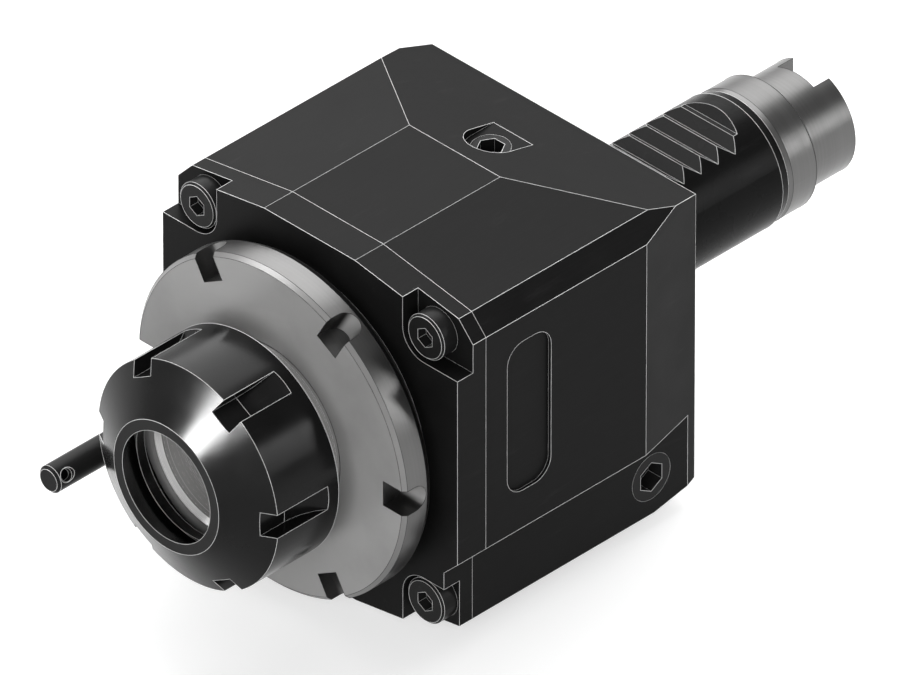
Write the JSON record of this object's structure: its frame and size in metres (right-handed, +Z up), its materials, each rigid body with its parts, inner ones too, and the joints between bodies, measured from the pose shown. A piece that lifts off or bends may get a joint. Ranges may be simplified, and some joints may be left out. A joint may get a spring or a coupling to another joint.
{
  "type": "axial driven tool holder",
  "caption": "Block-shaped driven tool holder with a toothed round shank, a collet spindle with its clamping nut, a notched bearing lock ring and a long coolant pipe.",
  "frame": {"origin": "on the shank's axis, in the plane of the rear seating face that meets the turret", "axes": "+Y along the shank to the rear, towards the drive coupling, -Y towards the clamping nut; +Z up, the side with the shank's clamping teeth; +X to the right as seen from the front"},
  "size_m": [0.082, 0.1799, 0.0816],
  "materials": {
    "black_oxide_steel": "black oxide, ground faces",
    "nut_steel": "black oxide, turned",
    "satin_steel": "turned and ground, satin",
    "ground_steel": "ground and polished",
    "bearing_steel": "ground",
    "cage_steel": "pressed sheet",
    "screw_steel": "black oxide",
    "pipe_steel": "black oxide, drawn",
    "seal_rubber": "moulded"
  },
  "bodies": {
    "holder": {"housing": "black_oxide_steel", "front_cover": "black_oxide_steel", "cover_screws": "screw_steel", "dowel_pins": "bearing_steel", "bearing_lock_ring": "satin_steel", "front_seal": "seal_rubber", "front_bearing_outer_ring": "bearing_steel", "middle_bearing_outer_ring": "bearing_steel", "end_ring": "satin_steel", "needle_cup": "bearing_steel", "rear_seal": "seal_rubber", "side_plug": "screw_steel", "top_plug": "screw_steel", "inlet_seal": "seal_rubber", "shank_seal": "seal_rubber"},
    "spindle": {"spindle": "ground_steel", "front_bearing_inner_ring": "bearing_steel", "middle_bearing_inner_ring": "bearing_steel", "spindle_nut": "black_oxide_steel", "drive_coupling": "satin_steel", "coupling_key": "bearing_steel", "coupling_screw": "screw_steel"},
    "front_rollers": {"front_bearing_rollers": "bearing_steel", "front_bearing_cage": "cage_steel"},
    "middle_rollers": {"middle_bearing_rollers": "bearing_steel", "middle_bearing_cage": "cage_steel"},
    "needle_set": {"needles": "bearing_steel", "needle_cage": "cage_steel"},
    "extractor": {"extractor_ring": "nut_steel"},
    "nut": {"clamping_nut": "nut_steel"},
    "pipe": {"coolant_pipe": "pipe_steel"}
  },
  "joints": [
    {"name": "spindle_spin", "type": "hinge", "parent": "holder", "child": "spindle", "pos_m": [0, 0, 0], "axis": [0, 1, 0], "continuous": true},
    {"name": "front_cage_spin", "type": "hinge", "parent": "holder", "child": "front_rollers", "pos_m": [0, -0.0512, 0], "axis": [0, 1, 0], "continuous": true},
    {"name": "middle_cage_spin", "type": "hinge", "parent": "holder", "child": "middle_rollers", "pos_m": [0, -0.0346, 0], "axis": [0, 1, 0], "continuous": true},
    {"name": "needle_cage_spin", "type": "hinge", "parent": "holder", "child": "needle_set", "pos_m": [0, 0.05, 0], "axis": [0, 1, 0], "continuous": true},
    {"name": "nut_travel", "type": "slide", "parent": "spindle", "child": "extractor", "axis": [0, -1, 0], "range_m": [-0.0018, 0.009]},
    {"name": "nut_turn", "type": "hinge", "parent": "extractor", "child": "nut", "pos_m": [0, -0.0988, 0], "axis": [0, -1, 0], "range_deg": [-432, 2160]},
    {"name": "pipe_aim", "type": "hinge", "parent": "holder", "child": "pipe", "pos_m": [-0.03645, -0.0705, -0.0184], "axis": [0, 1, 0], "range_deg": [-40, 40]}
  ],
  "couplings": [
    {"joint": "front_cage_spin", "follows": "spindle_spin", "ratio": 0.4376},
    {"joint": "middle_cage_spin", "follows": "spindle_spin", "ratio": 0.4376},
    {"joint": "needle_cage_spin", "follows": "spindle_spin", "ratio": 0.442},
    {"joint": "nut_travel", "follows": "nut_turn", "m_per_rad": 0.00023873}
  ]
}
